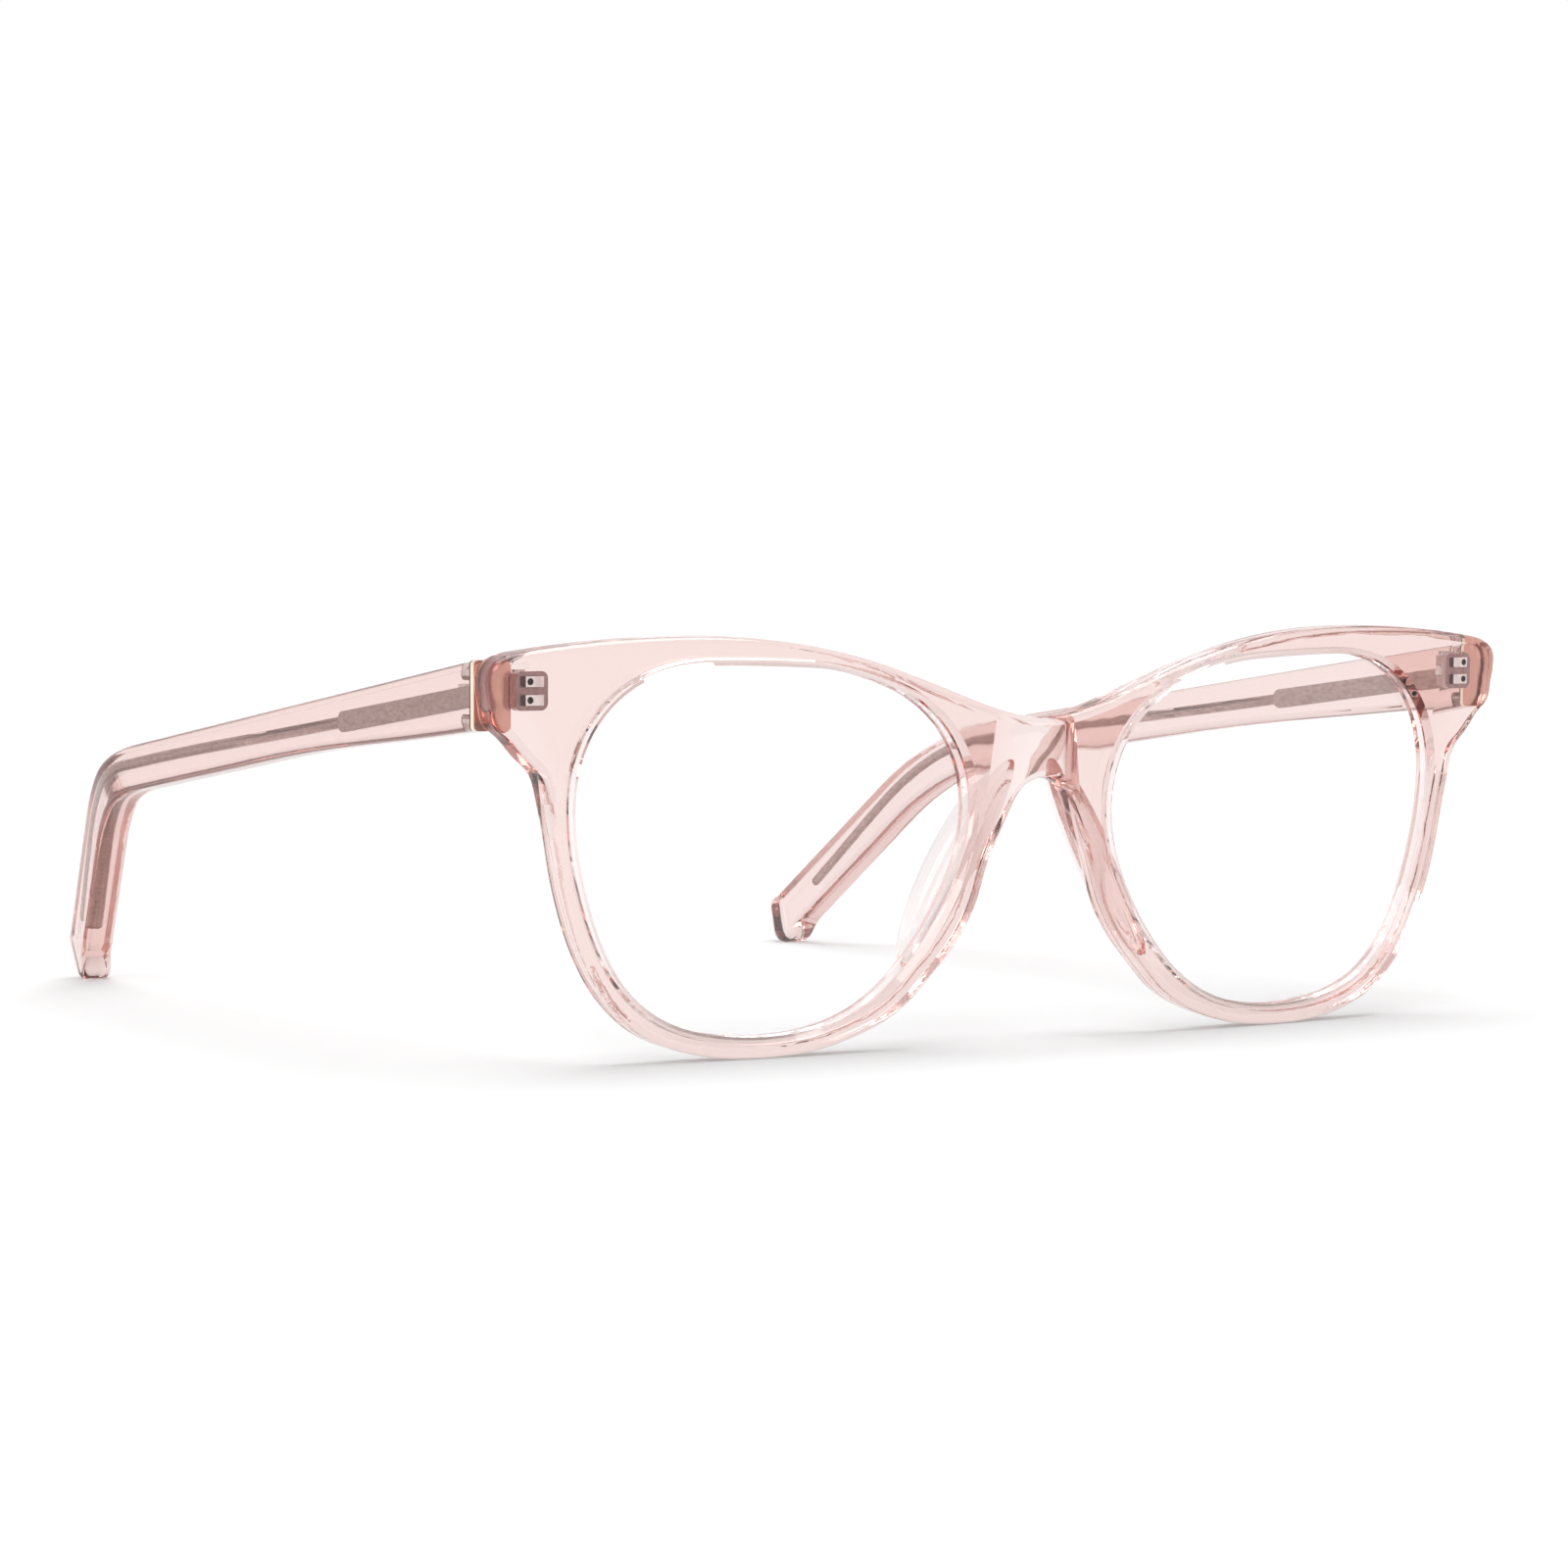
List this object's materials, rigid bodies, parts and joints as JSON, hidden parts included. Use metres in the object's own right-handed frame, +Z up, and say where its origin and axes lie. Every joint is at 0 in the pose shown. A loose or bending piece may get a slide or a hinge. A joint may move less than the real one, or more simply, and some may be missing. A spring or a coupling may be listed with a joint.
{
  "type": "blue light glasses",
  "caption": "Cat-eye glasses in clear pink acetate with plano lenses, cemented nose pads and cored temples that fold on screwed hinges.",
  "frame": {"origin": "centre of the bounding box on the surface that the open glasses stand on", "axes": "+X to the wearer's left, +Y from the lenses back along the temples, +Z up"},
  "size_m": [0.14, 0.1374, 0.0466],
  "materials": {
    "pink_acetate": "polished clear pink acetate",
    "clear_acetate": "polished, nearly clear acetate",
    "clear_lens": "clear, hard coated",
    "core_metal": "brushed, fine grain",
    "gold_metal": "polished pale gold",
    "hinge_steel": "satin",
    "screw_steel": "bright",
    "washer": "natural nylon"
  },
  "bodies": {
    "front": {"front_frame": "pink_acetate", "lens_right": "clear_lens", "nose_pad_right": "clear_acetate", "front_hinge_leaf_right": "hinge_steel", "hinge_screw_right": "screw_steel", "lens_left": "clear_lens", "nose_pad_left": "clear_acetate", "front_hinge_leaf_left": "hinge_steel", "hinge_screw_left": "screw_steel"},
    "temple_right": {"temple_right": "pink_acetate", "temple_core_right": "core_metal", "end_plate_right": "gold_metal", "end_plate_pegs_right": "hinge_steel", "temple_hinge_leaf_right": "hinge_steel", "hinge_washers_right": "washer"},
    "temple_left": {"temple_left": "pink_acetate", "temple_core_left": "core_metal", "end_plate_left": "gold_metal", "end_plate_pegs_left": "hinge_steel", "temple_hinge_leaf_left": "hinge_steel", "hinge_washers_left": "washer"}
  },
  "joints": [
    {"name": "temple_right_fold", "type": "hinge", "parent": "front", "child": "temple_right", "pos_m": [-0.0643, -0.05934, 0.0409], "axis": [0, 0, -1], "range_deg": [0, 84]},
    {"name": "temple_left_fold", "type": "hinge", "parent": "front", "child": "temple_left", "pos_m": [0.0643, -0.05934, 0.0409], "axis": [0, 0, 1], "range_deg": [0, 75]}
  ]
}
